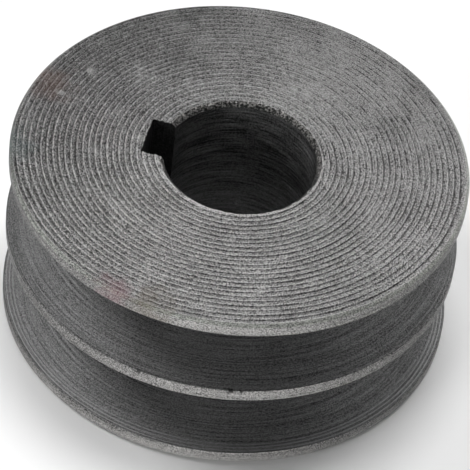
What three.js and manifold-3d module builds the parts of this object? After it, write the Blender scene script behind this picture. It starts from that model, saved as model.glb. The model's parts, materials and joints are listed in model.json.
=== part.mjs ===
// A V belt pulley with two grooves, turned from one iron casting, and the set screw over its keyway.
// Millimetres. +Z is the bore's axis, the origin is the middle of the lower face, and the keyway is on -X.
import * as THREE from 'three';
import { mergeVertices } from 'three/addons/utils/BufferGeometryUtils.js';
import Module from 'manifold-3d';

const OUTSIDE_DIAMETER = 75;
const RIM_BREAK = 0.5; // 45 degree edge break where a face meets its rim

// Grooves for classical V belts of section A
const GROOVE_COUNT = 2;
const GROOVE_PITCH = 15;
const EDGE_DISTANCE = 8.8; // from a face to the middle of its nearest groove
const GROOVE_MOUTH = 12.9;
const GROOVE_DEPTH = 11.8;
const GROOVE_ANGLE = 34; // degrees between the two flanks

// Bore for a 25 mm shaft with an 8 mm parallel key
const BORE_DIAMETER = 25;
const BORE_CHAMFER = 0.8;
const KEYWAY_WIDTH = 8;
const KEYWAY_DEPTH = 3.3; // past the bore's wall

// M6 x 8 set screw with a hexagon socket and a cup point, in the lower groove
const SCREW_DIAMETER = 6;
const SCREW_LENGTH = 8;
const SCREW_CLEARANCE = 0.3; // stands for the thread that the screw and its hole share
const SCREW_RECESS = 1.2; // how far the screw's socket end lies below the groove's bottom
const SCREW_END_CHAMFER = 0.4;
const POINT_CHAMFER = 1.1;
const CUP_DIAMETER = 3;
const CUP_DEPTH = 0.8;
const SOCKET_WIDTH = 3; // across the flats
const SOCKET_DEPTH = 3.5;

const RIM_SEGMENTS = 96;
const SCREW_SEGMENTS = 32;
const OVERCUT = 1; // how far a cutter runs past the surface that it opens

const PULLEY_WIDTH = (GROOVE_COUNT - 1) * GROOVE_PITCH + 2 * EDGE_DISTANCE;
const RIM_RADIUS = OUTSIDE_DIAMETER / 2;
const BORE_RADIUS = BORE_DIAMETER / 2;
const GROOVE_BOTTOM_RADIUS = RIM_RADIUS - GROOVE_DEPTH;
const FLANK_SLOPE = Math.tan(THREE.MathUtils.degToRad(GROOVE_ANGLE / 2));
const GROOVE_BOTTOM_WIDTH = GROOVE_MOUTH - 2 * GROOVE_DEPTH * FLANK_SLOPE;
const SCREW_RADIUS = SCREW_DIAMETER / 2;
const HOLE_RADIUS = SCREW_RADIUS + SCREW_CLEARANCE;

const wasm = await Module();
wasm.setup();

function toSolid(geometry) {
  geometry.deleteAttribute('normal');
  geometry.deleteAttribute('uv');
  const welded = mergeVertices(geometry);
  return new wasm.Manifold(new wasm.Mesh({
    numProp: 3,
    vertProperties: welded.attributes.position.array,
    triVerts: new Uint32Array(welded.index.array),
  }));
}

function toMesh(name, solid, material) {
  const { vertProperties, triVerts } = solid.getMesh();
  const geometry = new THREE.BufferGeometry();
  geometry.setAttribute('position', new THREE.BufferAttribute(vertProperties, 3));
  geometry.setIndex(new THREE.BufferAttribute(triVerts, 1));
  geometry.computeVertexNormals();
  const mesh = new THREE.Mesh(geometry, material);
  mesh.name = name;
  return mesh;
}

// Turns an outline of [radius, height] points about Z. It runs up the outside and down the inside.
function turn(outline, segments) {
  const points = outline.map(([radius, height]) => new THREE.Vector2(radius, height));
  return toSolid(new THREE.LatheGeometry(points, segments).rotateX(Math.PI / 2));
}

function grooveOutline(middle) {
  return [
    [RIM_RADIUS, middle - GROOVE_MOUTH / 2],
    [GROOVE_BOTTOM_RADIUS, middle - GROOVE_BOTTOM_WIDTH / 2],
    [GROOVE_BOTTOM_RADIUS, middle + GROOVE_BOTTOM_WIDTH / 2],
    [RIM_RADIUS, middle + GROOVE_MOUTH / 2],
  ];
}

function grooveMiddle(index) {
  return EDGE_DISTANCE + index * GROOVE_PITCH;
}

function turnedBody() {
  const mouthRadius = BORE_RADIUS + BORE_CHAMFER;
  const outline = [[mouthRadius, 0], [RIM_RADIUS - RIM_BREAK, 0], [RIM_RADIUS, RIM_BREAK]];
  for (let i = 0; i < GROOVE_COUNT; i += 1) {
    outline.push(...grooveOutline(grooveMiddle(i)));
  }
  outline.push(
    [RIM_RADIUS, PULLEY_WIDTH - RIM_BREAK],
    [RIM_RADIUS - RIM_BREAK, PULLEY_WIDTH],
    [mouthRadius, PULLEY_WIDTH],
    [BORE_RADIUS, PULLEY_WIDTH - BORE_CHAMFER],
    [BORE_RADIUS, BORE_CHAMFER],
    [mouthRadius, 0],
  );
  return turn(outline, RIM_SEGMENTS);
}

// The keyway runs the whole length of the bore, so its cutter starts on the axis and leaves both faces.
function keywayCutter() {
  const reach = BORE_RADIUS + KEYWAY_DEPTH;
  const box = new THREE.BoxGeometry(reach, KEYWAY_WIDTH, PULLEY_WIDTH + 2 * OVERCUT);
  return toSolid(box.translate(-reach / 2, 0, PULLEY_WIDTH / 2));
}

// The set screw's hole opens into the keyway at one end and into the groove at the other.
function screwHoleCutter() {
  const inner = BORE_RADIUS + KEYWAY_DEPTH - OVERCUT;
  const outer = GROOVE_BOTTOM_RADIUS + 2 * OVERCUT;
  const cutter = new THREE.CylinderGeometry(HOLE_RADIUS, HOLE_RADIUS, outer - inner, SCREW_SEGMENTS);
  cutter.rotateZ(Math.PI / 2);
  return toSolid(cutter.translate(-(inner + outer) / 2, 0, grooveMiddle(0)));
}

function sheave() {
  const solid = turnedBody().subtract(keywayCutter()).subtract(screwHoleCutter());
  const iron = new THREE.MeshStandardMaterial({ color: 0x6e6e6c, roughness: 0.6, metalness: 0.85 });
  return toMesh('sheave', solid, iron);
}

// The screw is made standing on its cup point, then laid along -X with its socket end outwards.
function setScrew() {
  const cupRadius = CUP_DIAMETER / 2;
  const blank = turn([
    [0, CUP_DEPTH],
    [cupRadius, 0],
    [SCREW_RADIUS - POINT_CHAMFER, 0],
    [SCREW_RADIUS, POINT_CHAMFER],
    [SCREW_RADIUS, SCREW_LENGTH - SCREW_END_CHAMFER],
    [SCREW_RADIUS - SCREW_END_CHAMFER, SCREW_LENGTH],
    [0, SCREW_LENGTH],
  ], SCREW_SEGMENTS);
  const socketCorner = SOCKET_WIDTH / Math.sqrt(3);
  const socket = new THREE.CylinderGeometry(socketCorner, socketCorner, SOCKET_DEPTH + OVERCUT, 6);
  socket.rotateX(Math.PI / 2);
  socket.translate(0, 0, SCREW_LENGTH - (SOCKET_DEPTH - OVERCUT) / 2);
  const steel = new THREE.MeshStandardMaterial({ color: 0x1d1d1f, roughness: 0.45, metalness: 0.9 });
  const mesh = toMesh('set_screw', blank.subtract(toSolid(socket)), steel);
  mesh.rotation.y = -Math.PI / 2;
  mesh.position.set(SCREW_LENGTH + SCREW_RECESS - GROOVE_BOTTOM_RADIUS, 0, grooveMiddle(0));
  return mesh;
}

const pulley = new THREE.Group();
pulley.add(sheave(), setScrew());

export default pulley;
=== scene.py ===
"""The looks of a V belt pulley with two grooves: turned grey iron, and a blackened set screw."""

import json
import math

import bmesh
import bpy
import numpy as np
from mathutils import Matrix, Vector


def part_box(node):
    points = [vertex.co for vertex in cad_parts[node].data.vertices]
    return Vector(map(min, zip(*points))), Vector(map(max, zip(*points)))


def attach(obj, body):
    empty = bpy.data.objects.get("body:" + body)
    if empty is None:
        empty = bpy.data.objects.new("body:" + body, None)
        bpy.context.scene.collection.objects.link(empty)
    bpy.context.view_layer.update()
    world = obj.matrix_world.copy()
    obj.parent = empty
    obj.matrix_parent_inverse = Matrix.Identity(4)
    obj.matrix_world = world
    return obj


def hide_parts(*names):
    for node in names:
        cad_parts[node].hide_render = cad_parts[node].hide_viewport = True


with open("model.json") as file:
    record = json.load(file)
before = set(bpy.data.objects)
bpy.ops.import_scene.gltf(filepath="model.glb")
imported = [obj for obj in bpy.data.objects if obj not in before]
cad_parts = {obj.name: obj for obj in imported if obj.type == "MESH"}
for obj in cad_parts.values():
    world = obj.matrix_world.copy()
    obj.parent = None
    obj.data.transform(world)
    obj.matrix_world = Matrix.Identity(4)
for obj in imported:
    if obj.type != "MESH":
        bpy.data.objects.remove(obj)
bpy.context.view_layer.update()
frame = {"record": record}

MM = 0.001

# Sizes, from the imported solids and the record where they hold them
RIM_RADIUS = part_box("sheave")[1].x
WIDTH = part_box("sheave")[1].z
MOUNTS = {mount["name"]: mount for mount in frame["record"]["mounts"]}
BORE_RADIUS = MOUNTS["shaft_bore"]["dims"]["r_mm"] * MM
GROOVE_MIDDLES = sorted({
    round((opening["box_m"][0][2] + opening["box_m"][1][2]) / 2, 6)
    for opening in frame["record"]["physics"]["openings"]
    if "groove" in opening["name"]
})
GROOVE_MOUTH = 12.9 * MM
GROOVE_DEPTH = 11.8 * MM
FLANK_SLOPE = math.tan(math.radians(17))
GROOVE_CORNER = 0.7 * MM  # fillet at the bottom of a groove
RIM_BREAK = 0.5 * MM
LAND_BREAK = 0.12 * MM
BORE_CHAMFER = 0.8 * MM
KEYWAY_HALF = 4 * MM
KEYWAY_FLOOR = BORE_RADIUS + 3.3 * MM

SEGMENTS = 192
OVERCUT = 1 * MM  # how far a cutter runs past the surface that it opens

FACE, EDGE, LAND, GROOVE, BORE, KEYWAY, MOUTH = range(7)


# Mesh tools --------------------------------------------------------------------------------------


def waves(points, wavelength, seed, count=28):
    """A smooth random field of unit strength over the points, whose bumps are about a wavelength across."""
    rng = np.random.default_rng(seed)
    directions = rng.normal(size=(count, 3))
    directions /= np.linalg.norm(directions, axis=1)[:, None]
    directions *= rng.uniform(0.6, 1.4, (count, 1)) * 2 * math.pi / wavelength
    phases = rng.uniform(0, 2 * math.pi, count)
    return np.cos(points @ directions.T + phases).sum(-1) * math.sqrt(2 / count)


def angles(segments):
    return np.arange(segments) * (2 * math.pi / segments)


def rings(radius, height, segments):
    """Points round Z for arrays that spread to the shape (rings, segments)."""
    turn = angles(segments)
    radius, height, turn = np.broadcast_arrays(radius, height, turn)
    return np.stack([radius * np.cos(turn), radius * np.sin(turn), height], axis=-1)


def lathe(outline, segments):
    outline = np.array(outline)
    return rings(outline[:, :1], outline[:, 1:], segments)


class Skin:
    """A mesh gathered strip by strip. A strip is a stack of rings, each joined to the next."""

    def __init__(self):
        self.points, self.quads, self.slots, self.count = [], [], [], 0

    def add(self, strip, slot=0, shift=0, flip=False):
        """shift is how many rings on the end of a ring meets the start of the next, as on a spiral."""
        n, segments = strip.shape[:2]
        index = self.count + np.arange(n * segments).reshape(n, segments)
        after = np.roll(index, -1, axis=1)[: n - shift]
        after[:, -1] = index[shift:, 0]
        index = index[: n - shift]
        corners = [index[:-1], after[:-1], after[1:], index[1:]]
        quads = np.stack([c.reshape(-1) for c in corners], axis=1)
        self.points.append(strip.reshape(-1, 3))
        self.quads.append(quads[:, ::-1] if flip else quads)
        self.slots.append(np.full(len(quads), slot))
        self.count += n * segments

    def make(self, name, materials, place=Matrix.Identity(4)):
        mesh = bpy.data.meshes.new(name)
        mesh.from_pydata(np.concatenate(self.points).tolist(), [], np.concatenate(self.quads).tolist())
        mesh.polygons.foreach_set("material_index", np.concatenate(self.slots).astype(np.int32))
        for material in materials:
            mesh.materials.append(material)
        tool = bmesh.new()
        tool.from_mesh(mesh)
        bmesh.ops.remove_doubles(tool, verts=tool.verts, dist=1e-7)
        loose = [v for v in tool.verts if not v.link_faces]
        bmesh.ops.delete(tool, geom=loose, context="VERTS")
        tool.to_mesh(mesh)
        tool.free()
        mesh.transform(place)
        piece = bpy.data.objects.new(name, mesh)
        bpy.context.scene.collection.objects.link(piece)
        return piece


def along(start, end, steps):
    """Evenly spaced points from start to end, both included."""
    t = np.linspace(0, 1, steps + 1)[:, None]
    return np.array(start) * (1 - t) + np.array(end) * t


def arc(middle, radius, start, end, steps):
    """Points on an arc, with its angles in degrees."""
    turn = np.radians(np.linspace(start, end, steps + 1))
    return np.array(middle) + radius * np.stack([np.cos(turn), np.sin(turn)], axis=1)


def cut_away(piece, cutter):
    """Subtracts one closed mesh from another and removes it."""
    modifier = piece.modifiers.new("cut", "BOOLEAN")
    modifier.operation = "DIFFERENCE"
    modifier.solver = "EXACT"
    modifier.object = cutter
    with bpy.context.temp_override(object=piece, active_object=piece):
        bpy.ops.object.modifier_apply(modifier=modifier.name)
    bpy.data.objects.remove(cutter)


def smooth(piece, degrees):
    """Smooth shading that keeps edges sharper than this."""
    piece.data.shade_smooth()
    piece.data.set_sharp_from_angle(angle=math.radians(degrees))


# The sheave --------------------------------------------------------------------------------------

# The facing tool's coarse feed leaves a steep side that looks outwards, a long slope, and a narrow valley.
# Each row is a share of the feed, going inwards, and a height as a share of the relief.
FEED = 0.97 * MM
RELIEF = 0.18 * MM
FEED_PROFILE = np.array([[0.0, 0.0], [0.13, 0.93], [0.2, 1.0], [0.34, 0.87], [0.8, 0.56]])
FEED_WANDER = 0.02 * MM  # how far the spiral strays from an even feed
FACE_FADE = 0.25 * MM  # how far from a face's edges its marks reach their full depth
ROUGH_CUT = 0.008 * MM  # how unevenly a fine cut leaves its surface
COARSE_MARK = 0.06 * MM  # depth of the two deepest marks beside the mouth of each groove
BORE_ROUGHNESS = 0.06 * MM
BURR = 0.13 * MM  # how far a usual burr reaches in from the bore's mouth


def faced(outer, inner, level, up, seed):
    """A spiral facing cut from the outer radius in to the inner one. up is 1 on the upper face and
    -1 on the lower. The marks are deepest towards the front."""
    per_turn = len(FEED_PROFILE)
    turns = math.ceil((outer - inner.min()) / FEED) + 1
    steps = np.arange(-per_turn, turns * per_turn + per_turn)
    share, rise = FEED_PROFILE[steps % per_turn].T[..., None]
    wander = FEED_WANDER * waves(rings(outer, 0, SEGMENTS), 14 * MM, seed)
    run = (steps // per_turn)[:, None] + share + angles(SEGMENTS) / (2 * math.pi)
    radius = np.clip(outer - FEED * run + wander, inner, outer)
    flat = rings(radius, 0, SEGMENTS)
    torn = 0.9 + 0.22 * waves(flat, 1.4 * MM, seed + 1) + 0.12 * waves(flat, 7 * MM, seed + 2)
    torn = np.clip(torn - 0.18 * np.sin(angles(SEGMENTS)), 0.15, 1.6)
    rough = np.random.default_rng(seed).random((len(steps), SEGMENTS))
    height = RELIEF * torn * (rise - 1) - ROUGH_CUT * rough
    fade = np.clip(np.minimum(outer - radius, radius - inner) / FACE_FADE, 0, 1)
    return rings(radius, level + up * height * fade, SEGMENTS)


def bore_mouth(seed):
    """The radius of the chamfer's mouth all round, nibbled inwards where burrs are left."""
    ring = rings(BORE_RADIUS, 0, SEGMENTS)
    burrs = np.clip(waves(ring, 1 * MM, seed), -0.3, 2)
    share = np.clip(waves(ring, 6 * MM, seed + 1) + 0.7, 0.3, 2)
    return BORE_RADIUS + BORE_CHAMFER - BURR * burrs * share


def turned(outline, depth, seed, coarse=0):
    """Rings along an outline, each cut a little deeper or shallower, as a fine feed leaves them.
    The first and last stay exact, so that strips meet. Some of the first may be coarse marks."""
    outline = np.array(outline)
    way = np.gradient(outline, axis=0)
    way /= np.linalg.norm(way, axis=1)[:, None]
    inwards = np.stack([-way[:, 1], way[:, 0]], axis=1)
    cut = np.random.default_rng(seed).uniform(0, depth, len(outline))
    cut[1:2 * coarse:2] += COARSE_MARK
    cut[[0, -1]] = 0
    return lathe(outline + inwards * cut[:, None], SEGMENTS)


def groove_outline(middle):
    """One groove from its lower edge, down the flank, round the bottom and up the other flank."""
    edge = RIM_RADIUS - LAND_BREAK
    half_mouth = GROOVE_MOUTH / 2 - LAND_BREAK * FLANK_SLOPE
    bottom = RIM_RADIUS - GROOVE_DEPTH
    half_bottom = GROOVE_MOUTH / 2 - GROOVE_DEPTH * FLANK_SLOPE
    tilt = math.degrees(math.atan(FLANK_SLOPE))
    # The fillet's middle is one fillet radius from the bottom and from the flank
    reach = GROOVE_CORNER * math.tan(math.radians(90 - tilt) / 2)
    corner = (bottom + GROOVE_CORNER, -half_bottom + reach)
    fillet = arc(corner, GROOVE_CORNER, 270 - tilt, 180, 4)
    lower = np.concatenate([along((edge, -half_mouth), fillet[0], 24), fillet[1:]])
    upper = lower[::-1] * [1, -1]
    return np.concatenate([lower, upper]) + [0, middle]


def outside_outline():
    """Strips of the outside, from the lower face's edge up to the upper one's, as (outline, slot) pairs."""
    strips = []
    start = [RIM_RADIUS, RIM_BREAK]
    strips.append((along((RIM_RADIUS - RIM_BREAK, 0), start, 3), EDGE))
    for middle in GROOVE_MIDDLES:
        groove = groove_outline(middle)
        land_end = [RIM_RADIUS, middle - GROOVE_MOUTH / 2 - LAND_BREAK]
        strips.append((along(start, land_end, 6), LAND))
        strips.append((along(land_end, groove[0], 2), LAND))
        strips.append((groove, GROOVE))
        start = [RIM_RADIUS, middle + GROOVE_MOUTH / 2 + LAND_BREAK]
        strips.append((along(groove[-1], start, 2), LAND))
    top = [RIM_RADIUS, WIDTH - RIM_BREAK]
    strips.append((along(start, top, 6), LAND))
    strips.append((along(top, (RIM_RADIUS - RIM_BREAK, WIDTH), 3), EDGE))
    return strips


def bore_strips(upper_mouth, lower_mouth):
    """The upper chamfer, the wall and the lower chamfer."""
    share = np.linspace(0, 1, 4)[:, None]
    wall = along((BORE_RADIUS, WIDTH - BORE_CHAMFER), (BORE_RADIUS, BORE_CHAMFER), 70)
    upper_radius = upper_mouth * (1 - share) + BORE_RADIUS * share
    lower_radius = BORE_RADIUS * (1 - share) + lower_mouth * share
    return [
        rings(upper_radius, WIDTH - BORE_CHAMFER * share, SEGMENTS),
        turned(wall, BORE_ROUGHNESS, 70),
        rings(lower_radius, BORE_CHAMFER * (1 - share), SEGMENTS),
    ]


BROACH_WAVER = 0.012 * MM  # how unevenly the broach leaves the keyway's sides
FRAY = 0.12 * MM  # how far the keyway's edges are frayed where it leaves a face
FRAY_DEPTH = 0.3 * MM  # how far below a face the fraying ends
KEYWAY_STEPS = 34  # points along each side of the keyway's outline
ON_SIDE = 0.01 * MM  # how near a side a point lies to count as on it


def keyway_cutter(materials):
    """A prism from near the axis to the keyway's floor. Its sides waver a little, and fray where it
    leaves the faces."""
    sides = along((-BORE_RADIUS * 0.6, KEYWAY_HALF), (-KEYWAY_FLOOR, KEYWAY_HALF), KEYWAY_STEPS)
    floor = along((-KEYWAY_FLOOR, KEYWAY_HALF), (-KEYWAY_FLOOR, -KEYWAY_HALF), KEYWAY_STEPS)
    outline = np.concatenate([sides[:-1], floor[:-1], (sides * [1, -1])[::-1]])
    outwards = np.zeros_like(outline)
    outwards[outline[:, 0] < ON_SIDE - KEYWAY_FLOOR, 0] = -1
    outwards[outline[:, 1] > KEYWAY_HALF - ON_SIDE, 1] = 1
    outwards[outline[:, 1] < ON_SIDE - KEYWAY_HALF, 1] = -1
    broach = BROACH_WAVER * np.random.default_rng(5).normal(size=(len(outline), 1))
    lower = [-OVERCUT, 0, FRAY_DEPTH]
    upper = [WIDTH - FRAY_DEPTH, WIDTH, WIDTH + OVERCUT]
    levels = np.array([*lower, WIDTH / 2, *upper])
    frays = np.array([1, 1, 0, 0, 0, 1, 1]) * FRAY
    points = []
    for level, fray in zip(levels, frays):
        flat = np.column_stack([outline, np.full(len(outline), np.sign(level - WIDTH / 2))])
        wear = np.clip(waves(flat, 0.9 * MM, 31), -0.3, 2)[:, None]
        moved = outline + outwards * (broach + fray * wear)
        points.append(np.column_stack([moved, np.full(len(outline), level)]))
    skin = Skin()
    skin.add(np.array(points)[::-1], KEYWAY)
    cutter = skin.make("keyway_cutter", materials)
    close_ends(cutter, KEYWAY)
    return cutter


def close_ends(piece, slot):
    """Fills the open rims of a tube."""
    tool = bmesh.new()
    tool.from_mesh(piece.data)
    rim = [edge for edge in tool.edges if edge.is_boundary]
    made = bmesh.ops.holes_fill(tool, edges=rim)["faces"]
    for face in made:
        face.material_index = slot
    bmesh.ops.recalc_face_normals(tool, faces=tool.faces)
    tool.to_mesh(piece.data)
    tool.free()


# The set screw and its thread --------------------------------------------------------------------

SCREW_PITCH = 1 * MM
SCREW_LOW, SCREW_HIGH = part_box("set_screw")
SCREW_RADIUS = (SCREW_HIGH.z - SCREW_LOW.z) / 2
SCREW_LENGTH = SCREW_HIGH.x - SCREW_LOW.x
SCREW_TIP = -SCREW_HIGH.x  # how far its point is from the bore's axis
THREAD_DEPTH = 0.55 * MM
# Each row is a share of the pitch and a height as a share of the depth
THREAD_PROFILE = np.array([[0.0, 0.0], [0.38, 1.0], [0.52, 1.0], [0.9, 0.0]])
THREAD_SEGMENTS = 48
THREAD_PLAY = 0.06 * MM  # how far the screw's thread is below its nominal radius
POINT_RADIUS = 1.85 * MM
CUP_RADIUS = 1.45 * MM
CUP_DEPTH = 0.75 * MM
SOCKET_RIM_RADIUS = 2 * MM
SOCKET_WIDTH = 3 * MM  # across the flats
SOCKET_DEPTH = 3.5 * MM
SOCKET_CONE = 0.6 * MM  # how far the drill's cone runs past the socket
# Turns a piece made standing on Z so that its +Z runs out along -X at the lower groove's middle
OUTWARDS = Matrix.Translation((0, 0, GROOVE_MIDDLES[0])) @ Matrix.Rotation(-math.pi / 2, 4, "Y")


def thread(start, end, crest, ends):
    """A right-hand thread round Z between two heights. ends gives the largest radius at a height,
    which shapes its ends."""
    per_turn = len(THREAD_PROFILE)
    first, last = math.floor(start / SCREW_PITCH) - 2, math.ceil(end / SCREW_PITCH) + 2
    steps = np.arange(first * per_turn, last * per_turn)
    share, rise = THREAD_PROFILE[steps % per_turn].T[..., None]
    run = (steps // per_turn)[:, None] + share + angles(THREAD_SEGMENTS) / (2 * math.pi)
    height = np.clip(run * SCREW_PITCH, start, end)
    radius = np.minimum(crest - THREAD_DEPTH * (1 - rise), ends(height))
    return rings(radius, height, THREAD_SEGMENTS), per_turn


def hexagon(width, height):
    """One ring round a hexagon, width across its flats."""
    turn = angles(THREAD_SEGMENTS)
    off = np.mod(turn, math.pi / 3) - math.pi / 6
    return rings(width / 2 / np.cos(off), height, THREAD_SEGMENTS)[None]


def set_screw(material):
    tip, back = SCREW_TIP, SCREW_TIP + SCREW_LENGTH
    crest = SCREW_RADIUS - THREAD_PLAY
    end_radius = crest - THREAD_DEPTH - 0.03 * MM

    def ends(height):
        return np.minimum(POINT_RADIUS + (height - tip), end_radius + (back - height))

    body, shift = thread(tip, back, crest, ends)
    rim = [(end_radius, back), (end_radius - 0.05 * MM, back), (SOCKET_RIM_RADIUS, back)]
    socket = np.concatenate([
        lathe([(SOCKET_RIM_RADIUS, back)], THREAD_SEGMENTS),
        hexagon(SOCKET_WIDTH + 0.12 * MM, back),
        hexagon(SOCKET_WIDTH, back - 0.1 * MM),
        hexagon(SOCKET_WIDTH, back - SOCKET_DEPTH),
        lathe([(0, back - SOCKET_DEPTH - SOCKET_CONE)], THREAD_SEGMENTS),
    ])
    cup = [
        (0, tip + CUP_DEPTH),
        (CUP_RADIUS, tip + 0.02 * MM),
        (CUP_RADIUS + 0.1 * MM, tip),
        (POINT_RADIUS, tip),
    ]
    skin = Skin()
    skin.add(body, shift=shift)
    skin.add(lathe(rim, THREAD_SEGMENTS))
    skin.add(socket)
    skin.add(lathe(cup, THREAD_SEGMENTS))
    piece = skin.make("socket_set_screw", [material], OUTWARDS)
    smooth(piece, 35)
    return piece


def hole_cutter(materials):
    """The thread of the set screw's hole, from inside the keyway to the bottom of the groove."""
    start = KEYWAY_FLOOR - OVERCUT
    end = RIM_RADIUS - GROOVE_DEPTH + 2.5 * MM
    crest = SCREW_RADIUS + 0.02 * MM
    end_radius = crest - THREAD_DEPTH

    def ends(height):
        return end_radius + np.minimum(height - start, end - height)

    tube, shift = thread(start, end, crest, ends)
    skin = Skin()
    skin.add(tube, KEYWAY, shift=shift)
    skin.add(lathe([(end_radius, end), (0, end)], THREAD_SEGMENTS), KEYWAY)
    skin.add(lathe([(0, start), (end_radius, start)], THREAD_SEGMENTS), KEYWAY)
    return skin.make("hole_cutter", materials, OUTWARDS)


def sheave(materials):
    skin = Skin()
    rim = RIM_RADIUS - RIM_BREAK
    upper_mouth, lower_mouth = bore_mouth(61), bore_mouth(64)
    skin.add(faced(rim, lower_mouth, 0, -1, seed=11), FACE, shift=len(FEED_PROFILE), flip=True)
    for number, (outline, slot) in enumerate(outside_outline()):
        coarse = 2 if slot == GROOVE else 0
        skin.add(turned(outline, ROUGH_CUT, 40 + number, coarse), slot)
    skin.add(faced(rim, upper_mouth, WIDTH, 1, seed=21), FACE, shift=len(FEED_PROFILE))
    for strip, slot in zip(bore_strips(upper_mouth, lower_mouth), (MOUTH, BORE, MOUTH)):
        skin.add(strip, slot)
    piece = skin.make("turned_sheave", materials)
    cut_away(piece, keyway_cutter(materials))
    cut_away(piece, hole_cutter(materials))
    smooth(piece, 40)
    return piece


# Materials ---------------------------------------------------------------------------------------


class Nodes:
    """Short calls for building one material's nodes."""

    def __init__(self, name):
        self.material = bpy.data.materials.new(name)
        self.material.use_nodes = True
        self.tree = self.material.node_tree
        self.shader = self.tree.nodes["Principled BSDF"]
        self.place = self.add("ShaderNodeTexCoord").outputs["Object"]

    def add(self, kind, inputs=None, **settings):
        node = self.tree.nodes.new(kind)
        for key, value in settings.items():
            setattr(node, key, value)
        for key, value in (inputs or {}).items():
            self.put(node.inputs[key], value)
        return node

    def put(self, socket, value):
        if isinstance(value, bpy.types.NodeSocket):
            self.tree.links.new(value, socket)
        else:
            socket.default_value = value

    def math(self, operation, *values):
        return self.add("ShaderNodeMath", dict(enumerate(values)), operation=operation).outputs[0]

    def vector(self, operation, *values):
        return self.add("ShaderNodeVectorMath", dict(enumerate(values)), operation=operation)

    def noise(self, size, detail=2.0, vector=None, roughness=0.5):
        """Noise from 0 to 1 whose features are about this size, in metres where no vector is given."""
        inputs = {
            "Vector": vector or self.place,
            "Scale": 1 / size,
            "Detail": detail,
            "Roughness": roughness,
        }
        return self.add("ShaderNodeTexNoise", inputs).outputs["Fac"]

    def spread(self, value, low, high, to_low=0.0, to_high=1.0):
        """Maps low..high to to_low..to_high, held at both ends."""
        inputs = {"Value": value, "From Min": low, "From Max": high, "To Min": to_low, "To Max": to_high}
        return self.add("ShaderNodeMapRange", inputs).outputs["Result"]

    def mix(self, share, a, b):
        node = self.add("ShaderNodeMix", {"Factor": share}, data_type="RGBA")
        self.put(node.inputs[6], a)
        self.put(node.inputs[7], b)
        return node.outputs[2]

    def blotch(self, point, reach):
        """1 at a point of the piece, fading to 0 at about this reach, with a ragged outline."""
        away = self.vector("DISTANCE", self.place, point).outputs["Value"]
        wander = self.spread(self.noise(reach * 0.5, 4.0), 0.3, 0.7, -reach * 0.4, reach * 0.4)
        return self.spread(self.math("ADD", away, wander), reach, reach * 0.3)

    def flat(self):
        """The shaded point without its height."""
        return self.vector("MULTIPLY", self.place, (1, 1, 0)).outputs[0]

    def radius(self):
        return self.vector("LENGTH", self.flat()).outputs["Value"]

    def height(self):
        return self.add("ShaderNodeSeparateXYZ", {"Vector": self.place}).outputs["Z"]

    def streaks(self, across, size, length):
        """Noise drawn out round the axis. across is the radius or the height, size is how wide the
        marks are in metres, and length is how long they are in radians."""
        wound = self.vector("SCALE", self.vector("NORMALIZE", self.flat()).outputs[0])
        wound.inputs["Scale"].default_value = 1 / length
        parts = self.add("ShaderNodeSeparateXYZ", {"Vector": wound.outputs[0]})
        value = self.math("MULTIPLY", across, 1 / size)
        turns = {"X": value, "Y": parts.outputs["X"], "Z": parts.outputs["Y"]}
        return self.noise(1, 2.0, self.add("ShaderNodeCombineXYZ", turns).outputs[0])

    def finish(self, colour, metallic, roughness, height, bump, **sockets):
        bump_node = self.add("ShaderNodeBump", {"Height": height, "Distance": bump, "Strength": 1.0})
        self.put(self.shader.inputs["Base Color"], colour)
        self.put(self.shader.inputs["Metallic"], metallic)
        self.put(self.shader.inputs["Roughness"], roughness)
        self.put(self.shader.inputs["Normal"], bump_node.outputs["Normal"])
        for name, value in sockets.items():
            self.put(self.shader.inputs[name.replace("_", " ")], value)
        return self.material


def grey(value, warmth=0.0):
    return (value * (1 + warmth), value, value * (1 - warmth), 1)


class Iron(Nodes):
    """Turned grey iron: fine specks, marks drawn out along the cut, uneven gloss and cloudy stains."""

    def __init__(self, name, speckle, across, marks_share, mark_size=0.22 * MM):
        super().__init__(name)
        self.specks = self.noise(speckle, 3.0, roughness=0.75)
        across = {"radius": self.radius, "height": self.height}[across]()
        self.marks = self.streaks(across, mark_size, 0.5)
        self.marks_share = marks_share
        clouds = self.spread(self.noise(9 * MM, 2.0), 0.3, 0.7, -0.05, 0.05)
        marks = self.math("MULTIPLY", self.spread(self.marks, 0.3, 0.7, -0.5, 0.5), marks_share)
        # The specks are strongest towards the front
        contrast = self.spread(self.along(0, 1), -18 * MM, 26 * MM, 1.15 - marks_share, 0.45)
        specks = self.math("MULTIPLY", self.spread(self.specks, 0.43, 0.57, -0.5, 0.5), contrast)
        self.shade = self.math("ADD", self.math("ADD", specks, marks), self.math("ADD", clouds, 0.5))

    def along(self, x, y):
        """How far the shaded point lies from the axis along a level direction."""
        return self.vector("DOT_PRODUCT", self.place, (x, y, 0)).outputs["Value"]

    def darken(self, amount):
        """Darkens the surface by this share of its shade, or lightens it for a negative amount. Most uses
        paint shade or light into the colour.
        """
        self.shade = self.math("SUBTRACT", self.shade, amount)

    def coat(self, dark, light, roughness, bump, metallic=0.75):
        colour = self.mix(self.shade, dark, light)
        colour = self.stained_and_chip_shaded(colour)
        gloss = self.spread(self.noise(1.5 * MM, 3.0), 0.3, 0.7, roughness - 0.07, roughness + 0.07)
        height = self.math("ADD", self.specks, self.math("MULTIPLY", self.marks, self.marks_share))
        return self.finish(colour, metallic, gloss, height, bump)

    def stained_and_chip_shaded(self, colour):
        """Faint damp marks in blotches, the rust on the rim, and near-black painted shade standing in for
        chips on the middle land.
        """
        elsewhere = self.vector("ADD", self.place, (0.1, 0.2, 0.3)).outputs[0]
        damp = self.spread(self.noise(11 * MM, 3.0, elsewhere), 0.55, 0.75, 0, 0.12)
        colour = self.mix(damp, colour, (0.10, 0.12, 0.105, 1))
        for point, reach, amount, tint in STAINS_AND_CHIP_SHADE:
            share = self.math("MULTIPLY", self.blotch(point, reach), amount)
            colour = self.mix(share, colour, tint)
        return colour
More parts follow.
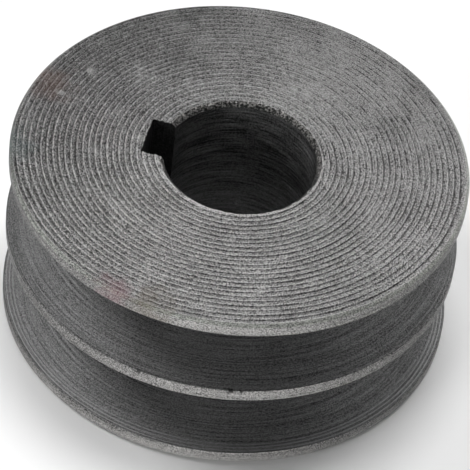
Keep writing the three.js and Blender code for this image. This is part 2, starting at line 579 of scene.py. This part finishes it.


# Where each stain, or each chip's painted shade, lies, its reach, its strength and its colour
STAINS_AND_CHIP_SHADE = [
    ((-12.3 * MM, -35.4 * MM, 32 * MM), 4 * MM, 0.4, (0.22, 0.1, 0.12, 1)),
    ((-6 * MM, -36.5 * MM, 32 * MM), 4.5 * MM, 0.35, (0.15, 0.12, 0.08, 1)),
    ((-34 * MM, 7 * MM, 32 * MM), 5 * MM, 0.35, (0.14, 0.08, 0.06, 1)),
    ((-36 * MM, -9 * MM, 32 * MM), 5 * MM, 0.3, (0.08, 0.12, 0.12, 1)),
    ((-32 * MM, 5.3 * MM, 32.5 * MM), 0.9 * MM, 0.35, (0.6, 0.6, 0.58, 1)),
    ((-28.7 * MM, 12.1 * MM, 32.5 * MM), 0.9 * MM, 0.35, (0.6, 0.6, 0.58, 1)),
    ((-16.6 * MM, -0.8 * MM, 32.5 * MM), 0.9 * MM, 0.35, (0.6, 0.6, 0.58, 1)),
    # Painted shade: near-black spots stand in for small chips on the middle land's upper edge.
    ((-6.5 * MM, -36.9 * MM, 17.3 * MM), 0.5 * MM, 0.8, (0.01, 0.01, 0.01, 1)),
    ((8.4 * MM, -36.5 * MM, 17.3 * MM), 0.7 * MM, 0.9, (0.01, 0.01, 0.01, 1)),
    ((10 * MM, -36.1 * MM, 17.3 * MM), 0.5 * MM, 0.9, (0.01, 0.01, 0.01, 1)),
]


def faced_iron():
    """The facing marks have crests lightened as rubbed metal and as painted highlight, broken into beads,
    and valleys darkened as dirt and as painted shade. The painted highlight is strongest on the left and
    front, the painted shade in the valleys on the right. Painted glints speckle the front, and painted
    shade darkens the face's left and back-left, and a little its back-right."""
    n = Iron("faced_iron", 0.2 * MM, "radius", 0.12)
    depth = n.math("SUBTRACT", WIDTH / 2, n.math("ABSOLUTE", n.math("SUBTRACT", n.height(), WIDTH / 2)))
    right = n.along(0.95, 0.3)
    # Crests lightened as rubbed metal, plus painted highlight: broken into beads, strongest at the left and
    # front.
    beads = n.spread(n.noise(0.5 * MM, 2.0), 0.38, 0.62, 0.3, 1.5)
    crest = n.math("MULTIPLY", n.spread(depth, RELIEF * 0.16, RELIEF * 0.05, 0, 0.5), beads)
    crest = n.math("MULTIPLY", crest, n.spread(right, 0, 16 * MM, 1, 0.4))
    crest = n.math("MULTIPLY", crest, n.spread(n.along(-0.2, 1), 0, 24 * MM, 1, 0.4))
    # Valleys darkened as dirt, plus painted shade that is strongest on the right.
    valley = n.spread(depth, RELIEF * 0.45, RELIEF * 0.75, 0, 0.13)
    valley = n.math("MULTIPLY", valley, n.spread(right, 0, 16 * MM, 1, 2.4))
    # Painted glints: small bright specks painted over the front.
    painted_glints = n.spread(n.noise(0.26 * MM, 2.0), 0.58, 0.66, 0, 0.3)
    painted_glints = n.math("MULTIPLY", painted_glints, n.spread(n.along(0, -1), -8 * MM, 16 * MM))
    n.shade = n.math("ADD", n.shade, n.math("ADD", crest, painted_glints))
    n.darken(valley)
    # Painted shade over the face's left and back-left, and a little over its back-right.
    n.darken(n.spread(n.along(-0.95, 0.31), 0, 28 * MM, 0.12, 0.36))
    n.darken(n.spread(n.along(0.8, 0.6), 16 * MM, 36 * MM, 0, 0.06))
    return n.coat(grey(0.004), grey(0.63, 0.01), 0.36, 0.2 * MM)


def edge_iron():
    n = Iron("edge_iron", 0.17 * MM, "radius", 0.25)
    # Painted shade over the rim's edge on the left and back-left.
    n.darken(n.spread(n.along(-1, 0), 0, 10 * MM, 0, 0.16))
    n.darken(n.spread(n.along(-0.9, 0.44), 5 * MM, 30 * MM, 0, 0.3))
    return n.coat(grey(0.03), (0.52, 0.535, 0.495, 1), 0.4, 0.1 * MM)


def land_iron():
    """Painted highlight over the front of the lands and along the bottom of the lowest land; painted shade
    towards the back and sides.
    """
    n = Iron("land_iron", 0.17 * MM, "height", 0.25)
    # Painted light along the bottom of the lowest land, beside the floor; then painted shade towards the
    # back and on the left and right.
    n.darken(n.spread(n.height(), 2.4 * MM, 1.2 * MM, 0, -0.25))
    n.darken(n.spread(n.along(0, 1), -36 * MM, -16 * MM, 0, 0.3))
    n.darken(n.spread(n.along(-1, 0), 0, 10 * MM, 0, 0.2))
    n.darken(n.spread(n.along(-1, 0), 12 * MM, 36 * MM, 0, 0.22))
    n.darken(n.spread(n.along(1, 0), 22 * MM, 36 * MM, 0, 0.2))
    return n.coat(grey(0.01), grey(0.74, 0.02), 0.38, 0.16 * MM)


def groove_iron():
    """The flanks carry painted shade on the right. A few tool-mark rings beside the lowest land carry
    painted highlight.
    """
    n = Iron("groove_iron", 0.17 * MM, "radius", 0.45)
    # Painted highlight on a few tool-mark rings beside the lowest land.
    wave = n.math("SINE", n.math("MULTIPLY", n.radius(), 2 * math.pi / (0.55 * MM)))
    low = n.spread(n.height(), 3 * MM, 2.7 * MM)
    ring_highlight = n.math("MULTIPLY", n.spread(wave, 0.2, 0.95, 0, 0.6), low)
    n.shade = n.math("ADD", n.shade, ring_highlight)
    # Painted shade on the right of the flanks.
    n.darken(n.spread(n.along(1, 0), 8 * MM, 34 * MM, 0, 0.16))
    return n.coat(grey(0.02), grey(0.36), 0.36, 0.1 * MM)


def mouth_iron():
    """The upper chamfer is dark and ragged, with painted glints on the torn metal along its upper edge,
    strongest at the back-left.
    """
    n = Iron("mouth_iron", 0.35 * MM, "radius", 0.15)
    radius = n.radius()
    torn = n.spread(n.noise(0.5 * MM, 3.0), 0.54, 0.64)
    edge = n.spread(radius, BORE_RADIUS + 0.4 * MM, BORE_RADIUS + 0.75 * MM)
    side = n.spread(n.along(-0.5, 0.87), 0, 12 * MM, 0.1, 1.2)
    painted_glint = n.math("MULTIPLY", torn, edge)
    n.darken(n.spread(radius, BORE_RADIUS, BORE_RADIUS + 0.5 * MM, 0.55, 0.37))
    # Painted glints on the torn upper edge, weighted towards the back-left.
    n.darken(n.math("MULTIPLY", painted_glint, n.math("MULTIPLY", side, -1)))
    return n.coat(grey(0.002), grey(0.5, 0.03), 0.4, 0.3 * MM)


def bored_iron():
    """The bore's wall is dark, with painted light towards its lower end and darker towards the top."""
    n = Iron("bored_iron", 0.3 * MM, "height", 0.75, mark_size=0.4 * MM)
    # Painted light low on the wall, darker towards the top.
    n.darken(n.spread(n.height(), 9 * MM, 22 * MM, -0.2, 0.15))
    return n.coat(grey(0.001), grey(0.25), 0.34, 0.3 * MM)


def iron_materials():
    keyway = Iron("broached_iron", 0.35 * MM, "radius", 0.4)
    return [
        faced_iron(),
        edge_iron(),
        land_iron(),
        groove_iron(),
        bored_iron(),
        keyway.coat(grey(0.008), grey(0.05), 0.55, 0.03 * MM),
        mouth_iron(),
    ]


def screw_material():
    n = Nodes("blackened_steel")
    worn = n.noise(0.8 * MM, 4.0)
    colour = n.mix(n.spread(worn, 0.45, 0.75), grey(0.02), grey(0.09, 0.03))
    gloss = n.spread(worn, 0.3, 0.7, 0.3, 0.5)
    return n.finish(colour, 0.85, gloss, n.noise(0.2 * MM), 0.006 * MM)


# Stage -------------------------------------------------------------------------------------------

CAMERA_AIM = Vector((0.66, 0.1, 14.49)) * MM
CAMERA_DISTANCE = 493.5 * MM
CAMERA_AZIMUTH = math.radians(8.29)
CAMERA_ELEVATION = math.radians(45.11)
CAMERA_ROLL = math.radians(7.15)
CAMERA_LENS = 226.8  # mm, on a sensor 36 mm wide

FLOOR_HALF = 3.0
LIGHT_DISTANCE = 4.5
LIGHT_SIZE = 2.0
# Name, azimuth and elevation in degrees, and watts
LIGHTS = [
    ("key", -98, 40, 102),
    ("overhead", 180, 76, 138),
    ("front", -40, 15, 68),
    ("right", 40, 20, 25),
    ("back", 150, 15, 42),
]


def direction(azimuth, elevation):
    """The unit vector towards a place, with azimuth 0 on -Y and growing towards +X."""
    level = math.cos(elevation)
    return Vector((level * math.sin(azimuth), -level * math.cos(azimuth), math.sin(elevation)))


def camera():
    data = bpy.data.cameras.new("camera")
    data.lens = CAMERA_LENS
    data.sensor_width = 36
    data.clip_start = 0.01
    data.clip_end = 20
    eye = bpy.data.objects.new("camera", data)
    away = direction(CAMERA_AZIMUTH, CAMERA_ELEVATION)
    turn = away.to_track_quat("Z", "Y").to_matrix().to_4x4() @ Matrix.Rotation(CAMERA_ROLL, 4, "Z")
    eye.matrix_world = Matrix.Translation(CAMERA_AIM + away * CAMERA_DISTANCE) @ turn
    bpy.context.scene.collection.objects.link(eye)
    bpy.context.scene.camera = eye


def soft_light(name, azimuth, elevation, power):
    data = bpy.data.lights.new(name, "AREA")
    data.shape = "DISK"
    data.size = LIGHT_SIZE
    data.energy = power
    lamp = bpy.data.objects.new(name, data)
    away = direction(math.radians(azimuth), math.radians(elevation))
    turn = away.to_track_quat("Z", "Y").to_matrix().to_4x4()
    lamp.matrix_world = Matrix.Translation(away * LIGHT_DISTANCE) @ turn
    bpy.context.scene.collection.objects.link(lamp)


def floor():
    n = Nodes("pale_floor")
    n.put(n.shader.inputs["Base Color"], (0.9, 0.9, 0.9, 1))
    n.put(n.shader.inputs["Roughness"], 0.9)
    mesh = bpy.data.meshes.new("floor")
    corners = [(x * FLOOR_HALF, y * FLOOR_HALF, 0) for x, y in ((-1, -1), (1, -1), (1, 1), (-1, 1))]
    mesh.from_pydata(corners, [], [(0, 1, 2, 3)])
    mesh.materials.append(n.material)
    piece = bpy.data.objects.new("floor", mesh)
    bpy.context.scene.collection.objects.link(piece)


def surroundings():
    """A faint sky with a pale band along the horizon, which low views see past the floor."""
    world = bpy.data.worlds.new("studio")
    world.use_nodes = True
    tree = world.node_tree
    sky = tree.nodes["Background"]
    sky.inputs["Color"].default_value = (1, 1, 1, 1)
    towards = tree.nodes.new("ShaderNodeTexCoord")
    parts = tree.nodes.new("ShaderNodeSeparateXYZ")
    band = tree.nodes.new("ShaderNodeMapRange")
    settings = {"From Min": 0.08, "From Max": 0.2, "To Min": 0.75, "To Max": 0.06}
    for name, value in settings.items():
        band.inputs[name].default_value = value
    tree.links.new(towards.outputs["Generated"], parts.inputs["Vector"])
    tree.links.new(parts.outputs["Z"], band.inputs["Value"])
    tree.links.new(band.outputs["Result"], sky.inputs["Strength"])
    bpy.context.scene.world = world
    bpy.context.scene.view_settings.view_transform = "Standard"
    for light in LIGHTS:
        soft_light(*light)


# The scene ---------------------------------------------------------------------------------------

camera()
surroundings()
floor()

body = sheave(iron_materials())
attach(body, "sheave")
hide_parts("sheave")

screw = set_screw(screw_material())
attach(screw, "set_screw")
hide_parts("set_screw")
